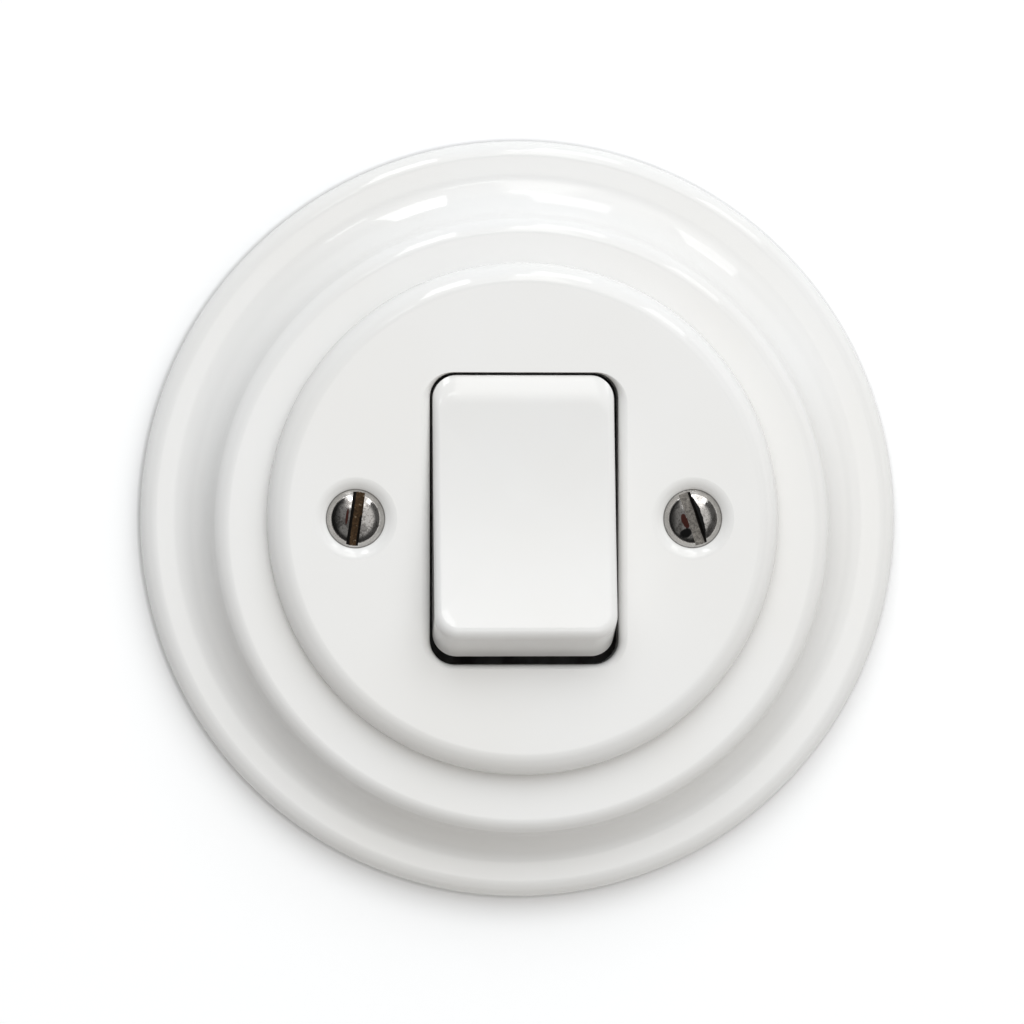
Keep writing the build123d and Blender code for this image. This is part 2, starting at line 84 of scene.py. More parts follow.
class NodeSheet:
    def __init__(self, tree):
        self.tree = tree
        tree.nodes.clear()

    def node(self, kind, settings=None, sockets=None, out=0):
        made = self.tree.nodes.new(kind)
        for name, value in (settings or {}).items():
            setattr(made, name, value)
        for key, value in (sockets or {}).items():
            if isinstance(value, Wire):
                self.tree.links.new(value.socket, made.inputs[key])
            else:
                made.inputs[key].default_value = value
        return Wire(self, made.outputs[out]) if made.outputs else made

    def place(self, shift=(0.0, 0.0, 0.0), stretch=(1.0, 1.0, 1.0)):
        here = self.node("ShaderNodeTexCoord", out="Object")
        return self.node("ShaderNodeMapping", {}, {"Vector": here, "Location": shift, "Scale": stretch})

    def part(self, vector, letter):
        return self.node("ShaderNodeSeparateXYZ", {}, {0: vector}, out=letter)

    def dot(self, vector, axis):
        return self.node("ShaderNodeVectorMath", {"operation": "DOT_PRODUCT"}, {0: vector, 1: axis}, out="Value")

    def greater(self, first, second, clamp=False):
        return self.node("ShaderNodeMath", {"operation": "MAXIMUM", "use_clamp": clamp}, {0: first, 1: second})

    def noise(self, where, scale, detail=2.0, roughness=0.5):
        sockets = {"Vector": where, "Scale": scale, "Detail": detail, "Roughness": roughness}
        return self.node("ShaderNodeTexNoise", {}, sockets, out="Fac")

    def between(self, value, low, high, fromValue=0.0, toValue=1.0):
        sockets = {"Value": value, "From Min": low, "From Max": high, "To Min": fromValue, "To Max": toValue}
        return self.node("ShaderNodeMapRange", {"interpolation_type": "SMOOTHSTEP"}, sockets)

    def fade(self, value, low, high):
        return self.between(value, low, high, 1.0, 0.0)

    def mix(self, share, first, second):
        return self.node("ShaderNodeMix", {"data_type": "RGBA"}, {0: share, 6: first, 7: second}, out=2)

    def bump(self, height, distance, under=None):
        sockets = {"Height": height, "Distance": distance, "Strength": 1.0}
        if under:
            sockets["Normal"] = under
        return self.node("ShaderNodeBump", {}, sockets)

    def principled(self, sockets):
        return self.node("ShaderNodeBsdfPrincipled", {}, sockets)

    def mixShader(self, share, first, second):
        return self.node("ShaderNodeMixShader", {}, {0: share, 1: first, 2: second})

    def close(self, shader):
        self.node("ShaderNodeOutputMaterial", {}, {"Surface": shader})


def rgb(r, g, b):
    return (r, g, b, 1.0)


def newFinish(name):
    material = bpy.data.materials.new(name)
    material.use_nodes = True
    return material, NodeSheet(material.node_tree)


# glazed porcelain

porcelainLook = {
    "pale": rgb(0.840, 0.834, 0.821), "warm": rgb(0.826, 0.816, 0.796), "cloudScale": 34.0,
    "gloss": 0.035, "smudge": 0.03, "smudgeScale": 120.0,
    "waveScale": 62.0, "wave": 0.03, "peelScale": 700.0, "peel": 0.0012,
    "footHigh": 0.32, "footLow": 0.12, "biscuit": rgb(0.74, 0.71, 0.66), "sand": rgb(0.80, 0.78, 0.74),
    "gritScale": 1900.0, "bareRough": 0.8,
    # painted shade: the grey band on the rim's outer edge near the wall
    "shadeHigh": 3.2, "shadeLow": 2.2, "dustAndShadeShare": 0.55, "shadeGrey": rgb(0.56, 0.555, 0.545),
    # painted shade in the gap round the screw heads
    "paintedShade": rgb(0.085, 0.078, 0.070), "seatShadeShare": 0.85,
}


def porcelainFinish(name, shift, tone=1.0, seat=None):
    look = porcelainLook
    material, sheet = newFinish(name)
    where, spot = sheet.place(shift), sheet.place()
    pale, warm = (rgb(*(tone * part for part in look[shade][:3])) for shade in ("pale", "warm"))
    cloud = sheet.between(sheet.noise(where, look["cloudScale"], 3.0), 0.35, 0.68)
    body = sheet.mix(cloud, pale, warm)
    depth = sheet.part(spot, "Y")
    foot = sheet.between(depth, -look["footHigh"] * mm, -look["footLow"] * mm)  # the bare foot on the wall
    dustAndShade = sheet.between(depth, -look["shadeHigh"] * mm, -look["shadeLow"] * mm)  # painted shade: greys the rim near the wall, just above it
    bare = sheet.mix(sheet.noise(where, look["gritScale"], 3.0), look["biscuit"], look["sand"])
    smudge = sheet.between(sheet.noise(where, look["smudgeScale"], 5.0, 0.62), 0.5, 0.75)
    gloss = look["gloss"] + smudge * look["smudge"]
    wave = sheet.bump(sheet.noise(where, look["waveScale"], 1.0), look["wave"] * mm)
    peel = sheet.bump(sheet.noise(where, look["peelScale"], 2.0), look["peel"] * mm, wave)
    if seat:  # painted shade in the gap between the screw heads and the glaze
        aside = sheet.node("ShaderNodeMath", {"operation": "ABSOLUTE"}, {0: sheet.part(spot, "X")})
        out, along = aside - seat["away"] * mm, sheet.part(spot, "Z")
        reach = (out * out + along * along) ** 0.5
        paintedShade = sheet.fade(reach, seat["black"] * mm, seat["clean"] * mm)
        body = sheet.mix(paintedShade * look["seatShadeShare"], body, look["paintedShade"])
    sheet.close(sheet.principled({
        "Base Color": sheet.mix(foot, sheet.mix(dustAndShade * look["dustAndShadeShare"], body, look["shadeGrey"]), bare),
        "Roughness": gloss + foot * (look["bareRough"] - gloss),
        "IOR": 1.5,
        "Normal": peel,
    }))
    return material


# plain metals

metalLook = {"patchRough": 0.14, "lineScale": 2600.0, "lineRough": 0.08, "scratch": 0.002}
zincLook = {
    "bright": rgb(0.66, 0.68, 0.70), "dull": rgb(0.48, 0.49, 0.50), "scale": 210.0, "rough": 0.24,
    # painted shade: black on the yoke where the opening lies over it
    "paintedShade": rgb(0.010, 0.009, 0.008), "shadeLeast": 0.92, "shadePatch": 0.08,
    "yokeZincRough": 0.26, "grimeRough": 0.45,
    "shadeX": (0.00020, 0.00026), "shadeZ": (0.00048, 0.00058),  # squares of metres from the middle
}


def metalPatch(sheet, where, scale):
    return sheet.between(sheet.noise(where, scale, 4.0, 0.6), 0.3, 0.7)


def metalFinish(name, bright, dull, rough, scale):
    look = metalLook
    material, sheet = newFinish(name)
    where = sheet.place()
    patch = metalPatch(sheet, where, scale)
    lines = sheet.noise(where, look["lineScale"], 2.0)
    sheet.close(sheet.principled({
        "Base Color": sheet.mix(patch, bright, dull),
        "Metallic": 1.0,
        "Roughness": rough + patch * look["patchRough"] + lines * look["lineRough"],
        "Normal": sheet.bump(lines, look["scratch"] * mm),
    }))
    return material


def shadePaintedZincFinish(name):
    # bright zinc, painted black as shade where the opening lies over it
    look = zincLook
    material, sheet = newFinish(name)
    where = sheet.place()
    aside, along = sheet.part(where, "X"), sheet.part(where, "Z")
    under = sheet.fade(aside * aside, *look["shadeX"]) * sheet.fade(along * along, *look["shadeZ"])
    patch = metalPatch(sheet, where, look["scale"])
    paintedShade = under * (look["shadeLeast"] + patch * look["shadePatch"])
    plated = sheet.mix(patch, look["bright"], look["dull"])
    lines = sheet.noise(where, metalLook["lineScale"], 2.0)
    sheet.close(sheet.principled({
        "Base Color": sheet.mix(paintedShade, plated, look["paintedShade"]),
        "Metallic": 1.0 - paintedShade,
        "Roughness": look["yokeZincRough"] + patch * metalLook["patchRough"] + paintedShade * look["grimeRough"],
        "Normal": sheet.bump(lines, metalLook["scratch"] * mm),
    }))
    return material


# phenolic and fibre board

mouldedLook = {
    "deep": rgb(0.014, 0.013, 0.012), "pale": rgb(0.060, 0.055, 0.050), "rough": 0.30,
    "flowScale": 90.0, "flowShare": 0.55, "flowRough": 0.12, "dustScale": 640.0, "dustAndShadeShare": 0.3, "dustRough": 0.12,
    "stippleScale": 2200.0, "stipple": 0.008,
}
fibreLook = {
    "deep": rgb(0.040, 0.030, 0.024), "pale": rgb(0.095, 0.072, 0.055), "rough": 0.62,
    "strandScale": 420.0, "strandStretch": (1.0, 1.0, 7.0), "crossScale": 380.0, "crossStretch": (6.0, 1.0, 1.0),
    "weave": 0.02, "weaveRough": 0.2,
}


def mouldedFinish(name):
    look = mouldedLook
    material, sheet = newFinish(name)
    where = sheet.place()
    flow = sheet.between(sheet.noise(where, look["flowScale"], 5.0, 0.65), 0.42, 0.72)
    dustAndShade = sheet.between(sheet.noise(where, look["dustScale"], 4.0, 0.7), 0.58, 0.78)
    sheet.close(sheet.principled({
        "Base Color": sheet.mix(flow * look["flowShare"] + dustAndShade * look["dustAndShadeShare"], look["deep"], look["pale"]),
        "Roughness": look["rough"] + flow * look["flowRough"] + dustAndShade * look["dustRough"],
        "Normal": sheet.bump(sheet.noise(where, look["stippleScale"], 2.0), look["stipple"] * mm),
    }))
    return material


def fibreFinish(name):
    look = fibreLook
    material, sheet = newFinish(name)
    strands = sheet.noise(sheet.place(stretch=look["strandStretch"]), look["strandScale"], 5.0, 0.7)
    cross = sheet.noise(sheet.place(stretch=look["crossStretch"]), look["crossScale"], 5.0, 0.7)
    weave = sheet.between(strands * 0.5 + cross * 0.5, 0.38, 0.64)
    sheet.close(sheet.principled({
        "Base Color": sheet.mix(weave, look["deep"], look["pale"]),
        "Roughness": look["rough"] + weave * look["weaveRough"],
        "Normal": sheet.bump(weave, look["weave"] * mm),
    }))
    return material


# worn screws: places are across the slot, which screw (-1 left, 1 right) and along the slot

nickelLook = {
    "bright": rgb(0.80, 0.785, 0.77), "dull": rgb(0.17, 0.16, 0.15), "rim": rgb(0.50, 0.485, 0.465),
    "rust": rgb(0.040, 0.009, 0.006), "rustRough": 0.6, "tar": rgb(0.004, 0.004, 0.004), "tarRough": 0.5,
    "stainGlint": 0.12, "cloudScale": 620.0, "speckScale": 3600.0, "raggedScale": 900.0,
    "dent": 0.008, "speckDent": 0.2,
    "patchShare": 0.50, "speckShare": 0.40, "rimShadeShare": 0.8,
    "rough": 0.05, "patchRough": 0.06, "speckRough": 0.06, "rimRough": 0.12,
    "rustAcross": -1.16, "rustNarrow": 4.2, "rustWidens": 1.7, "rustAlong": 0.9, "rustRagged": 3.0,
    "sootFrom": (0.70, 0.74), "sootBulge": 1.26, "sootBow": 0.058, "sootRagged": 0.5,
    "tarAcross": -1.53, "tarAlong": -1.42, "tarWide": 1.5, "tarLong": 2.4, "tarRagged": 2.0,
    # painted shade: where the darker rim colour starts
    "rimFrom": (3.14, 3.22),
}
slotSides = {
    "slotLeft": {
        "floor": (0.075, 0.042, 0.019), "crumbs": rgb(0.42, 0.34, 0.24), "dark": (-0.30, -0.40), "farDark": True,
    },
    "slotRight": {
        "floor": (0.27, 0.25, 0.225), "crumbs": rgb(0.44, 0.41, 0.37), "dark": (0.40, 0.48), "farDark": False,
    },
}
slotLook = {
    "black": rgb(0.006, 0.005, 0.004), "shade": 0.45, "ragged": 0.24, "raggedScale": 700.0, "crumbScale": 1900.0,
    "grainScale": 2600.0, "grain": 0.03, "farFrom": (0.44, 0.56), "farAlong": (0.2, 0.8),
    "crumbShare": 0.6, "rough": 0.65, "darkRough": 0.25,
}


def slotPlace(sheet, letter):
    spot = sheet.node("ShaderNodeAttribute", {"attribute_name": "slotPlace"}, out="Vector")
    return sheet.part(spot, letter)


def nickelFinish(name):
    # bright plate gone dull in patches, with rust left of the slot, and soot and tar on the right screw
    look = nickelLook
    material, sheet = newFinish(name)
    where = sheet.place()
    across, side, along = (slotPlace(sheet, letter) for letter in "XYZ")
    onRight = sheet.between(side, 0.0, 0.5)
    cloud = sheet.noise(where, look["cloudScale"], 4.0, 0.62)
    patch = sheet.between(cloud, 0.50, 0.58)
    speck = sheet.between(sheet.noise(where, look["speckScale"], 3.0, 0.7), 0.50, 0.64)
    ragged = sheet.noise(where, look["raggedScale"], 4.0, 0.6) - 0.5
    aside = (across - look["rustAcross"]) * (look["rustNarrow"] - side * look["rustWidens"])
    rustReach = aside * aside + along * along * look["rustAlong"] + ragged * look["rustRagged"]
    rust = sheet.fade(rustReach, 0.75, 1.25)
    bulge = look["sootBulge"] - along * along * look["sootBow"] + ragged * look["sootRagged"]
    soot = sheet.between(across, *look["sootFrom"]) * sheet.fade(across - bulge, -0.05, 0.03) * onRight
    tarSide, tarAlong = across - look["tarAcross"], along - look["tarAlong"]
    tarReach = tarSide * tarSide * look["tarWide"] + tarAlong * tarAlong * look["tarLong"]
    tar = sheet.fade(tarReach + ragged * look["tarRagged"], 0.80, 1.15) * onRight
    # painted shade: the head's outer edge is coloured darker, standing in for the shaded glaze it mirrors
    rim = sheet.between((across * across + along * along) ** 0.5, *look["rimFrom"])
    wear = patch * look["patchShare"] + speck * look["speckShare"]
    dulled = sheet.mix(wear, look["bright"], look["dull"])
    roughness = look["rough"] + patch * look["patchRough"] + speck * look["speckRough"] + rim * look["rimRough"]
    plated = sheet.principled({
        "Base Color": sheet.mix(rim * look["rimShadeShare"], dulled, look["rim"]),
        "Metallic": 1.0,
        "Roughness": roughness,
        "Normal": sheet.bump(speck * look["speckDent"] + cloud, look["dent"] * mm),
    })
    rusty, tarry = (sheet.principled({
        "Base Color": look[stain], "Roughness": look[stain + "Rough"], "Specular IOR Level": look["stainGlint"],
    }) for stain in ("rust", "tar"))
    stained = sheet.mixShader(rust, plated, rusty)
    sheet.close(sheet.mixShader(sheet.greater(tar, soot), stained, tarry))
    return material


def slotFinish(name):
    # the slot's grime: one side lies in the dark, the rest shows its floor
    look, own = slotLook, slotSides[name]
    material, sheet = newFinish(name)
    where = sheet.place()
    rough = sheet.noise(where, look["raggedScale"], 4.0, 0.6) * look["ragged"]
    ragged = slotPlace(sheet, "X") + rough - look["ragged"] / 2
    dark = sheet.between(ragged, *own["dark"])
    if own["farDark"]:
        far = sheet.between(ragged, *look["farFrom"]) * sheet.fade(slotPlace(sheet, "Z"), *look["farAlong"])
        dark = sheet.greater(dark, far)
    crumb = sheet.between(sheet.noise(where, look["crumbScale"], 3.0, 0.6), 0.58, 0.72)
    grain = sheet.between(sheet.noise(where, look["grainScale"], 5.0, 0.7), 0.36, 0.64)
    ground = sheet.mix(grain, rgb(*(look["shade"] * part for part in own["floor"])), rgb(*own["floor"]))
    sheet.close(sheet.principled({
        "Base Color": sheet.mix(dark, sheet.mix(crumb * look["crumbShare"], ground, own["crumbs"]), look["black"]),
        "Roughness": look["rough"] + dark * look["darkRough"],
        "Specular IOR Level": nickelLook["stainGlint"],
        "Normal": sheet.bump(grain, look["grain"] * mm),
    }))
    return material


ringGlaze = porcelainFinish("ringGlaze", (0.0, 0.0, 0.0))
plateGlaze = porcelainFinish("plateGlaze", (0.31, 0.12, 0.07), seat={"away": 22.0, "black": 3.80, "clean": 3.93})
keyGlaze = porcelainFinish("keyGlaze", (0.55, 0.41, 0.23), 0.965)
nickel = nickelFinish("wornNickel")
slotLeft = slotFinish("slotLeft")
slotRight = slotFinish("slotRight")
yokeZinc = shadePaintedZincFinish("zincPaintedShade")
zinc = metalFinish("brightZinc", zincLook["bright"], zincLook["dull"], zincLook["rough"], zincLook["scale"])
groundSteel = metalFinish("groundSteel", rgb(0.60, 0.60, 0.60), rgb(0.42, 0.41, 0.40), 0.22, 300.0)
brass = metalFinish("rolledBrass", rgb(0.80, 0.60, 0.29), rgb(0.50, 0.34, 0.16), 0.20, 190.0)
silver = metalFinish("contactSilver", rgb(0.88, 0.87, 0.85), rgb(0.55, 0.52, 0.48), 0.20, 500.0)
phenolic = mouldedFinish("blackPhenolic")
fibre = fibreFinish("pressedFibre")
print("finishes made")


# mesh helpers

def arc(middle, radius, start, end, steps):
    # points on an arc in (radius, height), angles from the +radius direction towards the viewer
    turns = [radians(start + (end - start) * i / steps) for i in range(steps + 1)]
    return [(middle[0] + radius * cos(a), middle[1] + radius * sin(a)) for a in turns]


def addPiece(name, maker, finishes, sharp=38.0):
    mesh = bpy.data.meshes.new(name)
    maker.to_mesh(mesh)
    maker.free()
    mesh.shade_smooth()
    mesh.set_sharp_from_angle(angle=radians(sharp))
    for finish in finishes:
        mesh.materials.append(finish)
    piece = bpy.data.objects.new(name, mesh)
    bpy.context.scene.collection.objects.link(piece)
    return piece


def skin(maker, first, second):
    # joins two equal closed rows of corners, leaving out what has shrunk to a line
    for i in range(len(first)):
        j = (i + 1) % len(first)
        corners = list(dict.fromkeys((first[i], first[j], second[j], second[i])))
        if len(corners) > 2:
            maker.faces.new(corners)


def turned(profile, segments, closed):
    # turns a profile of (radius, height) about the y axis; height faces the viewer, towards -y
    maker = bmesh.new()
    turns = [2 * pi * i / segments for i in range(segments)]
    rows = []
    for radius, height in profile:
        if radius == 0.0:
            rows.append([maker.verts.new((0.0, -height * mm, 0.0))] * segments)
        else:
            points = [(radius * cos(a) * mm, -height * mm, radius * sin(a) * mm) for a in turns]
            rows.append([maker.verts.new(point) for point in points])
    for first, second in zip(rows, rows[1:] + rows[:1] if closed else rows[1:]):
        skin(maker, first, second)
    bmesh.ops.recalc_face_normals(maker, faces=maker.faces)
    return maker


def roundedOutline(halfX, top, bottom, corner, steps, runs, longSide=4.0):
    # one closed outline in x and z with rounded corners and divided sides
    points = []
    high, low, aside = top - corner, corner - bottom, halfX - corner
    for middle, start in (((aside, high), 0), ((-aside, high), 90), ((-aside, low), 180), ((aside, low), 270)):
        points += arc(middle, corner, start, start + 90, steps)
    whole = []
    for here, after in zip(points, points[1:] + points[:1]):
        whole.append(here)
        gap = sqrt((after[0] - here[0]) ** 2 + (after[1] - here[1]) ** 2)
        if gap > longSide:
            whole += [tuple(h + (a - h) * k / runs for h, a in zip(here, after)) for k in range(1, runs)]
    return whole


def capped(rows):
    # skins rows of points in metres and closes both ends
    maker = bmesh.new()
    rows = [[maker.verts.new(point) for point in row] for row in rows]
    for first, second in zip(rows, rows[1:]):
        skin(maker, first, second)
    maker.faces.new(rows[0])
    maker.faces.new(rows[-1])
    bmesh.ops.recalc_face_normals(maker, faces=maker.faces)
    return maker


def lofted(levels):
    # skins equal outlines, each given as its height and its points
    return capped([[(x * mm, -height * mm, z * mm) for x, z in points] for height, points in levels])


def carve(piece, cutters):
    for cutter in cutters:
        cut = piece.modifiers.new("cut", "BOOLEAN")
        cut.operation, cut.solver, cut.object = "DIFFERENCE", "EXACT", cutter
    bpy.context.view_layer.update()
    solved = bpy.data.meshes.new_from_object(piece.evaluated_get(bpy.context.evaluated_depsgraph_get()))
    piece.modifiers.clear()
    old, piece.data = piece.data, solved
    solved.name = piece.name
    bpy.data.meshes.remove(old)
    for cutter in cutters:
        bpy.data.objects.remove(cutter)
    return piece


def keepFlats(piece, sharp=38.0):
    # smooth shading that leaves large flat faces flat
    piece.data.shade_smooth()
    piece.data.set_sharp_from_angle(angle=radians(sharp))
    even = piece.modifiers.new("evenNormals", "WEIGHTED_NORMAL")
    even.keep_sharp = True
    return piece


def standFor(piece, node):
    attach(piece, next(body for body, members in bodiesOf.items() if node in members))
    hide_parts(node)


# frame ring

ringForm = {
    "radius": 50.0, "rimHeight": 4.64, "rimRound": 2.3, "rimFlat": 1.9625, "sweep": 5.3, "straight": 1.1056,
    "riser": 72.0, "brow": 2.2, "flatRows": (33.0, 35.0), "bore": 31.0, "footInset": 1.5, "footRun": 3.5,
    "cavity": 43.0, "cavityWall": 1.6, "cavitySlope": 4.5, "shoulder": 4.4, "segments": 288,
    "stepDrop": 1.0, "dropFrom": 33.0, "dropOver": 3.0, "dropFade": 7.0,  # the step sits a little low in the rim
}


def shoulderOf(form):
    curves = (form["sweep"] + form["brow"]) * (1 - cos(radians(form["riser"])))
    return form["rimHeight"] + curves + form["straight"]


shoulderHeight = shoulderOf(ringForm)


def makeRing():
    form = ringForm
    riser = form["riser"]
    rimStart = form["radius"] - form["rimRound"]
    sweepEnd = rimStart - form["rimFlat"]
    curves = (form["sweep"] + form["brow"]) * sin(radians(riser))
    browStart = sweepEnd - curves - form["straight"] / tan(radians(riser))
    ceiling = shoulderHeight - form["shoulder"]
    profile = [(out, shoulderHeight) for out in (form["bore"], *form["flatRows"])]
    profile += arc((browStart, shoulderHeight - form["brow"]), form["brow"], 90, 90 - riser, 16)
    profile += arc((sweepEnd, form["rimHeight"] + form["sweep"]), form["sweep"], 270 - riser, 270, 22)
    profile += arc((rimStart, form["rimHeight"] - form["rimRound"]), form["rimRound"], 90, 0, 18)
    frontRows = len(profile)
    wallTop, inset = form["rimHeight"] - form["rimRound"], form["footInset"]
    turns = [radians(a) for a in range(15, 90, 15)]
    profile += [(form["radius"] - inset + inset * cos(a), wallTop * (1 - sin(a))) for a in turns]
    profile += [
        (form["radius"] - inset, 0.0), (form["cavity"] + form["footRun"], 0.0), (form["cavity"], 0.0),
        (form["cavity"], form["cavityWall"]), (form["cavity"] - form["cavitySlope"], ceiling),
        (form["bore"], ceiling),
    ]
    maker = turned(profile, form["segments"], True)
    for corner in list(maker.verts)[:frontRows * form["segments"]]:
        out = Vector((corner.co.x, corner.co.z)).length / mm
        inner, outer = (out - form["dropFrom"]) / form["dropOver"], (sweepEnd - out) / form["dropFade"]
        share = min(1.0, max(0.0, inner), max(0.0, outer))
        corner.co.z -= form["stepDrop"] * share * share * (3 - 2 * share) * mm
    return addPiece("frameRing", maker, [ringGlaze])


frameRing = makeRing()
standFor(frameRing, "frame_ring")
print("ring made, shoulder at", round(shoulderHeight, 3), "mm")


# centre plate

plateForm = {
    "rise": 3.8, "radius": 33.5, "edge": 3.0, "thick": 4.4, "flatRow": 29.0, "segments": 240,
    "openingX": 12.3, "openingZ": 18.9808, "openingCorner": 3.2,
    "lipDrop": 1.2, "lipSide": 1.2, "lipEnd": 0.8, "lipTop": 0.1, "lipPast": 1.6,
    "lipTurns": (*range(8, 88, 8), 86),
    "spigotGap": 0.3, "spigotDrop": 2.0, "spigotWall": 3.0,
    "screwX": 22.0, "headRadius": 3.75, "headDrop": 0.711, "seatGap": 0.07,
    "dishRound": 2.4, "dishFrom": 94.0, "dishTurn": 45.0, "mouthPast": 0.6, "hole": 2.3, "holeSegments": 96,
    "cutAbove": 1.0, "cutBelow": 3.0,  # how far the cutters reach past the plate
}
plateFront = shoulderHeight + plateForm["rise"]


def openingCutter(form, bottom):
    lipStart = plateFront - form["lipDrop"]
    levels = [(bottom, 0.0), (lipStart, 0.0)]
    levels += [(lipStart + form["lipDrop"] * sin(radians(a)), 1 - cos(radians(a))) for a in form["lipTurns"]]
    levels += [(plateFront + form["cutAbove"], form["lipPast"])]
    rows = []
    for height, out in levels:
        aside, along = form["lipSide"] * out, form["lipEnd"] * out
        top, end = form["openingZ"] + form["lipTop"] * out, form["openingZ"] + along
        corner = form["openingCorner"] + (aside + along) / 2
        rows.append((height, roundedOutline(form["openingX"] + aside, top, end, corner, 12, 6)))
    return addPiece("openingCutter", lofted(rows), [plateGlaze])


def sinkCutter(form, bottom, side):
    # a dished mouth that runs into the cone for the screw's head
    dish, half = form["dishRound"], radians(form["dishTurn"])
    above = plateFront + form["cutAbove"]
    coneTop = plateFront - dish * (1 - cos(half))
    cone = form["headRadius"] + form["seatGap"] + form["headDrop"] + coneTop - plateFront
    mouth = cone + dish * sin(half)
    sink = [(0.0, above), (mouth + form["mouthPast"], above)]
    sink += arc((mouth, plateFront - dish), dish, form["dishFrom"], 90 + form["dishTurn"], 12)
    sink += [(form["hole"], coneTop - cone + form["hole"]), (form["hole"], bottom), (0.0, bottom)]
    maker = turned(sink, form["holeSegments"], False)
    bmesh.ops.translate(maker, verts=maker.verts, vec=(side * form["screwX"] * mm, 0.0, 0.0))
    return addPiece("sinkCutter", maker, [plateGlaze])


def makePlate():
    form = plateForm
    edgeStart, edgeEnd = form["radius"] - form["edge"], plateFront - form["edge"]
    spigot, spigotEnd = ringForm["bore"] - form["spigotGap"], shoulderHeight - form["spigotDrop"]
    spigotInner, back = spigot - form["spigotWall"], plateFront - form["thick"]
    under = form["rise"] - form["edge"]
    profile = [(0.0, plateFront), (form["flatRow"], plateFront)]
    profile += arc((edgeStart, edgeEnd), form["edge"], 90, 0, 18)
    profile += arc((form["radius"] - under, edgeEnd), under, 0, -90, 6)[1:]
    profile += [
        (spigot, shoulderHeight), (spigot, spigotEnd), (spigotInner, spigotEnd), (spigotInner, back), (0.0, back),
    ]
    plate = addPiece("centrePlate", turned(profile, form["segments"], False), [plateGlaze])
    bottom = spigotEnd - form["cutBelow"]
    cutters = [openingCutter(form, bottom)] + [sinkCutter(form, bottom, side) for side in (-1, 1)]
    return keepFlats(carve(plate, cutters))


centrePlate = makePlate()
standFor(centrePlate, "centre_plate")
print("plate made,", len(centrePlate.data.polygons), "faces")


# rocking key

keyForm = {
    "width": 23.7, "faceLength": 34.5, "corner": 3.1, "leastCorner": 0.5, "sideEdge": 1.0, "lowEdge": 1.5,
    "topReach": 4.2, "topDrop": 0.5, "topBow": 2.2,  # the face bows down towards its top end
    "wall": 2.5, "endWall": 3.0, "faceWall": 3.0, "skirtDrop": 7.1, "skirtRows": (0.0, 1.5, 3.0),
    "swing": 11.0, "pivotDepth": 5.7, "pocketCorner": 1.35, "hollowPast": 2.0, "notch": 2.6, "notchSegments": 48,
    "dish": 0.6, "dishFade": 3.5, "faceRows": (0.94, 0.85, 0.7, 0.5, 0.3, 0.1), "aside": -0.15,
}


def keyPlace(aside):
    # turns what is drawn round the pivot to rest, with the key's top pressed in
    pivot = Matrix.Translation((aside * mm, -(plateFront - keyForm["pivotDepth"]) * mm, 0.0))
    return pivot @ Matrix.Rotation(-radians(keyForm["swing"]), 4, "X")


def makeKey():
    form = keyForm
    lean = radians(form["swing"])
    halfX, halfZ = form["width"] / 2, form["faceLength"] / 2
    faceRise = (form["pivotDepth"] + halfZ * sin(lean)) / cos(lean)
    skirtRise = faceRise - form["skirtDrop"]

    def turnAt(rise, edge):
        return asin(min(1.0, max(0.0, (rise - faceRise + edge) / edge)))

    def lowEnd(rise):
        edge = form["lowEdge"]
        turn = turnAt(rise, edge)
        rounded = halfZ - edge * tan((pi / 2 - lean) / 2) + edge * cos(turn)
        return halfZ + (faceRise - rise) * tan(lean) if turn <= lean else rounded

    def topEnd(rise):
        drop, below = form["topDrop"], max(0.0, faceRise - rise)
        if below >= drop:
            return halfZ + below * tan(lean)
        return halfZ + drop * tan(lean) - form["topReach"] * (1 - (below / drop) ** (1 / form["topBow"]))

    def level(rise):
        # outline of the key at one height over its pivot
        inset = form["sideEdge"] * (1 - cos(turnAt(rise, form["sideEdge"])))
        corner = max(form["corner"] - inset, form["leastCorner"])
        return rise, roundedOutline(halfX - inset, topEnd(rise), lowEnd(rise), corner, 10, 6)

    drops = [edge * (1 - sin(radians(a))) for edge in (form["topDrop"], form["lowEdge"]) for a in range(0, 91, 5)]
    rises = [skirtRise + row for row in form["skirtRows"]] + sorted({round(faceRise - drop, 5) for drop in drops})
    outlines = [level(rise) for rise in rises]
    face = outlines[-1][1]
    outlines += [(faceRise, [(x * k, z * k) for x, z in face]) for k in form["faceRows"]]
    maker = lofted(outlines)
    for corner in maker.verts:  # the face is a little dished from end to end
        rise, z = -corner.co.y / mm, corner.co.z / mm
        share = min(1.0, max(0.0, (rise - faceRise + form["dishFade"]) / form["dishFade"]))
        corner.co.y += form["dish"] * share * max(0.0, 1 - (z / halfZ) ** 2) * mm
    key = addPiece("rockerKey", maker, [keyGlaze])
    pocketZ = halfZ - form["endWall"]
    pocket = roundedOutline(halfX - form["wall"], pocketZ, pocketZ, form["pocketCorner"], 6, 6)
    hollow = lofted([(skirtRise - form["hollowPast"], pocket), (faceRise - form["faceWall"], pocket)])
    notch, radius, across = bmesh.new(), form["notch"] * mm, Matrix.Rotation(pi / 2, 4, "Y")
    bmesh.ops.create_cone(notch, cap_ends=True, segments=form["notchSegments"], radius1=radius, radius2=radius,
                          depth=form["width"] * 2 * mm, matrix=across)
    carve(key, [addPiece("hollowCutter", hollow, [keyGlaze]), addPiece("notchCutter", notch, [keyGlaze])])
    key.data.transform(keyPlace(form["aside"]))
    return keepFlats(key)


rockerKey = makeKey()
standFor(rockerKey, "rocker_key")
print("key made,", len(rockerKey.data.polygons), "faces")


# cover screws

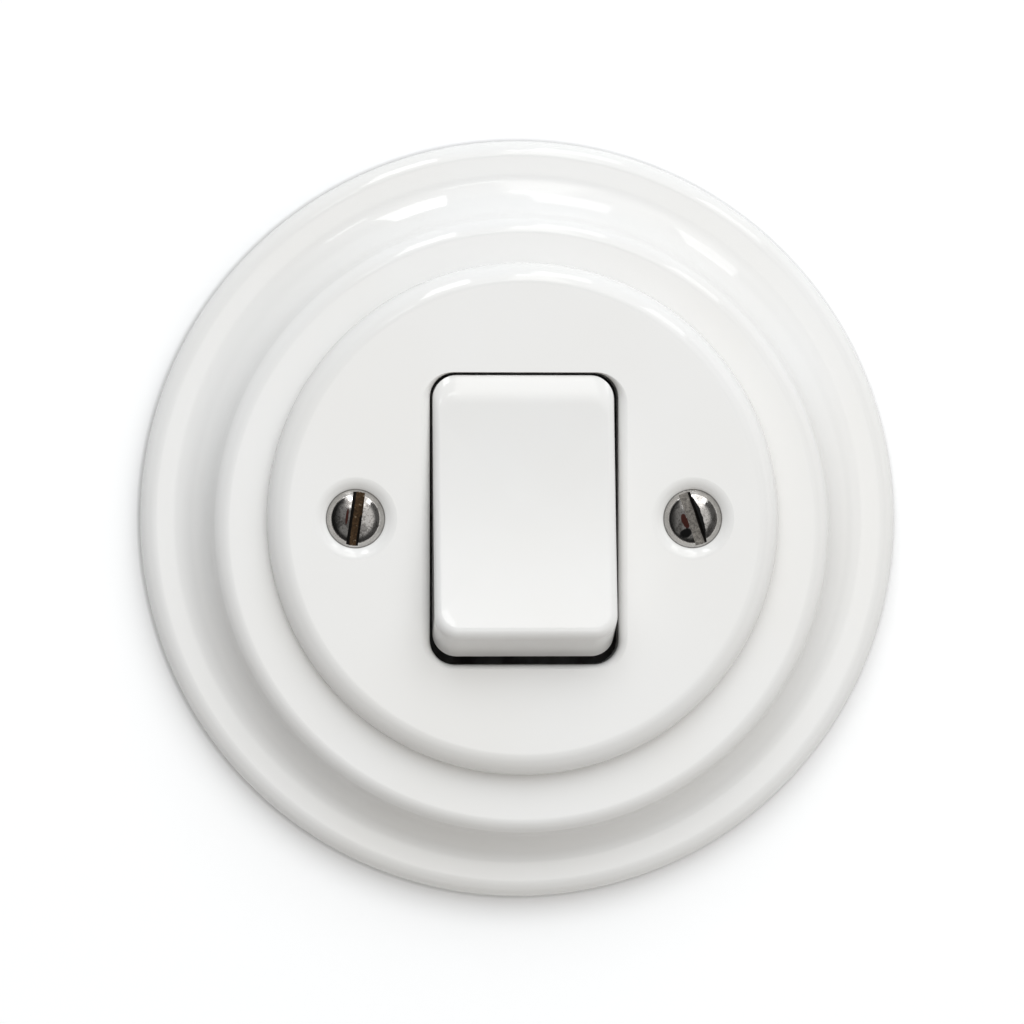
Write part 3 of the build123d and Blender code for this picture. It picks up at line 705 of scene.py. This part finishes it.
screwForm = {
    "head": 3.75, "dome": 1.25, "domeSteps": 24, "rim": 0.58, "rimLean": 41.0, "rimSoft": 0.03, "rimEdge": 0.05,
    "shank": 1.95, "tip": 0.4, "segments": 128, "leans": (8.0, -19.0),
    "slot": 1.55, "slotEdge": 0.1, "slotDepth": 1.05, "barTall": 4.0, "barLong": 12.0,
    "grimeBelow": 1.0, "grimeSlack": 0.02, "wallFacing": 0.9, "floorFacing": 0.99,  # tell the slot's faces
}


def softenSlot(mesh, halfWidth, bevel, near=1e-6, wallFacing=0.98, topFacing=0.6):
    # a narrow bevel along the two long edges of the slot
    maker = bmesh.new()
    maker.from_mesh(mesh)
    edges = []
    for edge in maker.edges:
        if len(edge.link_faces) != 2 or any(abs(abs(end.co.x) - halfWidth) > near for end in edge.verts):
            continue
        walls = [face for face in edge.link_faces if abs(face.normal.x) > wallFacing]
        flats = [face for face in edge.link_faces if abs(face.normal.x) < topFacing]
        if walls and any(abs(face.calc_center_median().x) > halfWidth for face in flats):
            edges.append(edge)
    bmesh.ops.bevel(maker, geom=edges, offset=bevel, segments=1, affect="EDGES", clamp_overlap=True)
    maker.to_mesh(mesh)
    maker.free()
    print("slot edges bevelled:", len(edges))


def makeScrews():
    form = screwForm
    headTop = plateFront - plateForm["headDrop"]
    domeTop = headTop + form["dome"]
    inner, rimRise = form["head"] - form["rim"], form["rim"] * tan(radians(form["rimLean"]))
    crown = form["dome"] - rimRise
    ball = (inner ** 2 + crown ** 2) / (2 * crown)
    turns = [asin(inner / ball) * i / form["domeSteps"] for i in range(form["domeSteps"] + 1)]
    profile = [(ball * sin(a), domeTop - ball * (1 - cos(a))) for a in turns]
    profile += [
        (inner + form["rimSoft"], headTop + rimRise), (form["head"] - form["rimEdge"], headTop + form["rimSoft"]),
        (form["head"], headTop),
    ]
    neck = headTop - form["head"] + form["shank"]
    profile += [(form["shank"], neck), (form["shank"], form["tip"]), (0.0, form["tip"])]
    halfSlot, slack = form["slot"] / 2 * mm, form["grimeSlack"] * mm
    barSize = Matrix.Diagonal((form["slot"] * mm, form["barTall"] * mm, form["barLong"] * mm, 1.0))
    barMiddle = (domeTop - form["slotDepth"] + form["barTall"] / 2) * mm
    finishes = [nickel, slotLeft, slotRight]
    maker = bmesh.new()
    for side, lean in zip((-1, 1), form["leans"]):
        one = addPiece("screwBlank", turned(profile, form["segments"], False), finishes)
        bar = bmesh.new()
        bmesh.ops.create_cube(bar, size=1.0, matrix=Matrix.Translation((0.0, -barMiddle, 0.0)) @ barSize)
        carve(one, [addPiece("slotCutter", bar, [nickel])])
        softenSlot(one.data, halfSlot, form["slotEdge"] * mm)
        spots = one.data.attributes.new("slotPlace", "FLOAT_VECTOR", "POINT")
        for corner, spot in zip(one.data.vertices, spots.data):
            spot.vector = (corner.co.x / mm, side, corner.co.z / mm)
        for face in one.data.polygons:
            out, height = abs(face.center.x), -face.center.y
            inSlot = out < halfSlot + slack and (neck + form["grimeBelow"]) * mm < height < domeTop * mm - slack
            floor = abs(face.normal.y) > form["floorFacing"] and out < halfSlot
            wallOrFloor = floor or abs(face.normal.x) > form["wallFacing"]
            face.material_index = (1 if side < 0 else 2) if inSlot and wallOrFloor else 0
        spot = Matrix.Translation((side * plateForm["screwX"] * mm, 0.0, 0.0))
        one.data.transform(spot @ Matrix.Rotation(radians(lean), 4, "Y"))
        maker.from_mesh(one.data)
        bpy.data.objects.remove(one)
    return keepFlats(addPiece("coverScrews", maker, finishes), 30.0)


coverScrews = makeScrews()
standFor(coverScrews, "cover_screws")
print("screws made,", len(coverScrews.data.polygons), "faces")


# plunger spring between the rocker and the plunger, made as it stands at rest; in the switch it shortens and
# lengthens

springForm = {
    "wire": 0.25, "radius": 1.6, "turns": 4.5, "start": 2.3, "length": 6.0, "steps": 36, "sides": 10,
    "hold": 0.3,  # at each end, the length that would keep still on its own body
}


def makeSpring():
    form = springForm
    count, radius, wind = round(form["turns"] * form["steps"]), form["radius"], 2 * pi * form["turns"]
    sides = [2 * pi * i / form["sides"] for i in range(form["sides"])]
    rows = []
    for i in range(count + 1):
        a = wind * i / count
        out = Vector((cos(a), 0.0, sin(a)))
        along = Vector((-radius * wind * sin(a), -form["length"], radius * wind * cos(a))).normalized()
        middle = out * radius + Vector((0.0, form["start"] - form["length"] * i / count, 0.0))
        rows.append([(middle + (out * cos(b) + along.cross(out) * sin(b)) * form["wire"]) * mm for b in sides])
    spring = addPiece("plungerSpring", capped(rows), [groundSteel], 60.0)
    place = keyPlace(0.0)
    spring.data.transform(place)
    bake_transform(spring)
    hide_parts("plunger_spring")
    return spring


plungerSpring = makeSpring()
print("spring made,", len(plungerSpring.data.polygons), "faces")


# finishes of the carried-over solids

nodeFinish = {
    "rocker_carrier": phenolic, "rocker_pins": groundSteel, "cover_bushes": brass, "yoke": yokeZinc,
    "insulating_plate": fibre, "housing": phenolic, "housing_screws": zinc, "common_contact": brass,
    "upper_contact": brass, "lower_contact": brass, "fixed_tips": silver, "contact_seesaw": brass,
    "moving_tips": silver, "seesaw_pin": groundSteel, "terminal_screws": zinc, "terminal_saddles": brass,
    "plunger": brass,
}
for node, finish in nodeFinish.items():
    solid = cadNodes[node]
    solid.data.materials.clear()
    solid.data.materials.append(finish)
print("solids dressed:", len(nodeFinish))


# wall behind the switch

wallForm = {
    "rows": (47.0, 70.0, 140.0, 330.0), "segments": 192, "behind": 0.03,
    "white": rgb(0.90, 0.90, 0.90), "glow": 0.14,
    # painted contact shadow on the wall round the ring
    "shadeGrey": rgb(0.54, 0.535, 0.53), "shadeFrom": 50.0, "shadeTo": 50.7,
}


def wallFinish():
    # white to the camera, with a painted contact shadow round the ring, and clear when looked at from behind
    form = wallForm
    material, sheet = newFinish("wallWhite")
    spot = sheet.place()
    aside, along = sheet.part(spot, "X"), sheet.part(spot, "Z")
    reach = (aside * aside + along * along) ** 0.5
    dustAndShade = sheet.fade(reach, form["shadeFrom"] * mm, form["shadeTo"] * mm)
    clean, shadeGrey = (sheet.node("ShaderNodeBsdfDiffuse", {}, {"Color": form[part]}) for part in ("white", "shadeGrey"))
    paint = sheet.mixShader(dustAndShade, clean, shadeGrey)
    glow = sheet.node("ShaderNodeEmission", {}, {"Color": rgb(1, 1, 1), "Strength": form["glow"]})
    lifted = sheet.node("ShaderNodeAddShader", {}, {0: paint, 1: glow})
    front = sheet.mixShader(sheet.node("ShaderNodeLightPath", out="Is Camera Ray"), paint, lifted)
    behind = sheet.node("ShaderNodeNewGeometry", out="Backfacing")
    passed = sheet.node("ShaderNodeLightPath", out="Transparent Depth")
    clear = sheet.node("ShaderNodeBsdfTransparent")
    sheet.close(sheet.mixShader(sheet.greater(behind, passed, clamp=True), front, clear))
    return material


def makeWall():
    form = wallForm
    maker = bmesh.new()
    turns = [2 * pi * i / form["segments"] for i in range(form["segments"])]
    rows = []
    for radius in form["rows"]:
        points = [(radius * cos(a) * mm, form["behind"] * mm, radius * sin(a) * mm) for a in turns]
        rows.append([maker.verts.new(point) for point in points])
    for inner, outer in zip(rows, rows[1:]):
        skin(maker, inner, outer)
    for face in maker.faces:
        face.normal_update()
        if face.normal.y > 0:
            face.normal_flip()
    return addPiece("backWall", maker, [wallFinish()])


backWall = makeWall()
print("wall made")


# camera

cameraForm = {
    "azimuth": -3.7, "lens": 185.72, "sensor": 36.0, "aim": (-0.83, -1.8, 0.87),
    "distance": 0.70, "clip": (0.01, 20.0),  # metres
}


def makeCamera():
    form = cameraForm
    data = bpy.data.cameras.new("photoCamera")
    data.lens, data.sensor_width, data.sensor_fit = form["lens"], form["sensor"], "AUTO"
    data.clip_start, data.clip_end = form["clip"]
    camera = bpy.data.objects.new("photoCamera", data)
    a = radians(form["azimuth"])
    aim = Vector(form["aim"]) * mm
    camera.location = aim + Vector((sin(a), -cos(a), 0.0)) * form["distance"]
    camera.rotation_euler = (aim - camera.location).to_track_quat("-Z", "Y").to_euler()
    bpy.context.scene.collection.objects.link(camera)
    bpy.context.scene.camera = camera


makeCamera()
bpy.context.scene.view_settings.view_transform = "Standard"
print("camera set")


# studio light

studio = {
    "fills": [  # angle round from the right, height over the wall, brightness
        (0.0, 90.0, 0.36), (60.0, 48.0, 2.34), (120.0, 48.0, 1.65), (240.0, 48.0, 0.28), (300.0, 48.0, 0.84),
        (0.0, 12.0, 0.25), (270.0, 12.0, 0.20), (315.0, 12.0, 0.45),
    ],
    "spread": 8.0, "behind": 0.6, "behindInto": (0.0, 0.5), "tintUp": (-0.6, 0.6),
    "cool": rgb(0.945, 0.974, 1.0), "warm": rgb(1.0, 0.972, 0.930),
}
# what the glaze and the screws mirror: parts of a room, each between two values of a direction's x, y or z
mirrored = {
    "dark": 0.05, "left": 0.12, "right": 0.52, "sky": 0.5, "wall": 0.75,
    "panel": 1.1, "keyPanel": 1.7, "card": 1.2,
    "skyUp": (0.76, 0.90), "rightX": (0.08, 0.30), "rightUp": (-0.70, -0.05, 0.25, 1.0), "leftX": (-0.62, -0.44),
    "shadeInto": (-0.80, -0.70), "shade": 0.85,  # a dark band between room and surround
    "wallInto": (-0.56, -0.48),  # the white surround near the wall
    "panelX": ((-0.42, -0.10), (0.34, 0.54)), "panelUp": (0.26, 0.52),
    "keyPanelX": ((0.02, 0.05), (0.14, 0.20)), "keyPanelUp": (0.30, 0.50),
    "cardAxis": (0.085, -0.996, -0.025), "cardNear": (0.975, 0.992),
    "skyTint": rgb(0.94, 0.97, 1.0), "roomTint": rgb(1.0, 0.98, 0.95),
}


def softLight(sheet, towards, into, up):
    look = studio
    soft = sheet.between(into, *look["behindInto"]) * look["behind"]
    for around, height, bright in look["fills"]:
        a, h = radians(around), radians(height)
        facing = sheet.greater(sheet.dot(towards, (cos(h) * cos(a), -sin(h), cos(h) * sin(a))), 0.0)
        soft = soft + facing ** look["spread"] * bright
    tint = sheet.mix(sheet.between(up, *look["tintUp"]), look["warm"], look["cool"])
    return sheet.node("ShaderNodeBackground", {}, {"Color": tint, "Strength": soft})


def mirroredRoom(sheet, towards, right, into, up):
    look = mirrored

    def panel(name):
        rise, fall = look[name + "X"]
        wide = sheet.between(right, *rise) * sheet.fade(right, *fall)
        return wide * sheet.between(up, *look[name + "Up"]) * look[name]

    sky = sheet.between(up, *look["skyUp"])
    side = sheet.between(right, *look["rightX"]) * sheet.between(up, *look["rightUp"])
    left = sheet.between(right, *look["leftX"]) * look["left"]
    unshaded = 1.0 - sheet.between(into, *look["shadeInto"]) * look["shade"]
    card = sheet.between(sheet.dot(towards, look["cardAxis"]), *look["cardNear"]) * look["card"]
    sides = look["dark"] + left + side * (look["right"] - left)
    room = sides * unshaded + (panel("panel") + panel("keyPanel")) + card
    lit = room + sky * (look["sky"] - room)
    whole = lit + sheet.between(into, *look["wallInto"]) * (look["wall"] - lit)
    tint = sheet.mix(sky, look["roomTint"], look["skyTint"])
    return sheet.node("ShaderNodeBackground", {}, {"Color": tint, "Strength": whole})


def makeWorld():
    world = bpy.data.worlds.new("studioWorld")
    world.use_nodes = True
    bpy.context.scene.world = world
    sheet = NodeSheet(world.node_tree)
    towards = sheet.node("ShaderNodeTexCoord", out="Generated")
    right, into, up = (sheet.part(towards, letter) for letter in "XYZ")
    soft, room = softLight(sheet, towards, into, up), mirroredRoom(sheet, towards, right, into, up)
    white = sheet.node("ShaderNodeBackground", {}, {"Color": rgb(1, 1, 1), "Strength": 1.0})
    lightOrGloss = sheet.mixShader(sheet.node("ShaderNodeLightPath", out="Is Glossy Ray"), soft, room)
    whole = sheet.mixShader(sheet.node("ShaderNodeLightPath", out="Is Camera Ray"), lightOrGloss, white)
    sheet.node("ShaderNodeOutputWorld", {}, {"Surface": whole})


windows = {
    "distance": 1.3,  # metres
    "panes": [  # lean of the glaze that mirrors it, angle right of upright, wide, tall, brightness
        ("windowLeft", 26.0, -18.5, 8.8, 24.0, 4.2),
        ("windowTop", 32.0, 9.0, 12.5, 22.0, 2.3),
        ("windowRight", 26.0, 35.5, 8.8, 22.0, 2.5),
        ("lampLeft", 15.0, -31.0, 4.0, 4.0, 2.5),
        ("lampTop", 13.5, -8.0, 4.5, 2.5, 2.5),
        ("stripLeft", 25.0, -0.7, 1.2, 3.5, 12.0),
        ("stripRight", 25.0, 0.9, 0.35, 3.5, 12.0),
    ],
}


def towardsLight(lean, around):
    # where a lamp stands so that a glaze leaning by this much mirrors it to the camera
    azimuth, lean, around = radians(cameraForm["azimuth"]), radians(lean), radians(around)
    view = Vector((sin(azimuth), -cos(azimuth), 0.0))
    face = Vector((sin(lean) * sin(around), -cos(lean), sin(lean) * cos(around)))
    return (2 * face.dot(view) * face - view).normalized()


def makeLights():
    form = windows
    front = Vector((0.0, -1.0, 0.0))
    for name, lean, around, wide, tall, bright in form["panes"]:
        towards = towardsLight(lean, around)  # a lamp shines along its own -z, so this is its z
        data = bpy.data.lights.new(name, "AREA")
        data.shape = "RECTANGLE"
        data.size = 2 * form["distance"] * tan(radians(wide / 2))
        data.size_y = 2 * form["distance"] * tan(radians(tall / 2))
        data.energy = bright * pi * data.size * data.size_y
        upright = (front - towards * front.dot(towards)).normalized()
        turn = Matrix((upright.cross(towards), upright, towards)).transposed().to_4x4()
        lamp = bpy.data.objects.new(name, data)
        lamp.matrix_world = Matrix.Translation(towards * form["distance"]) @ turn
        lamp.visible_camera = False
        bpy.context.scene.collection.objects.link(lamp)


makeWorld()
makeLights()
print("light set")
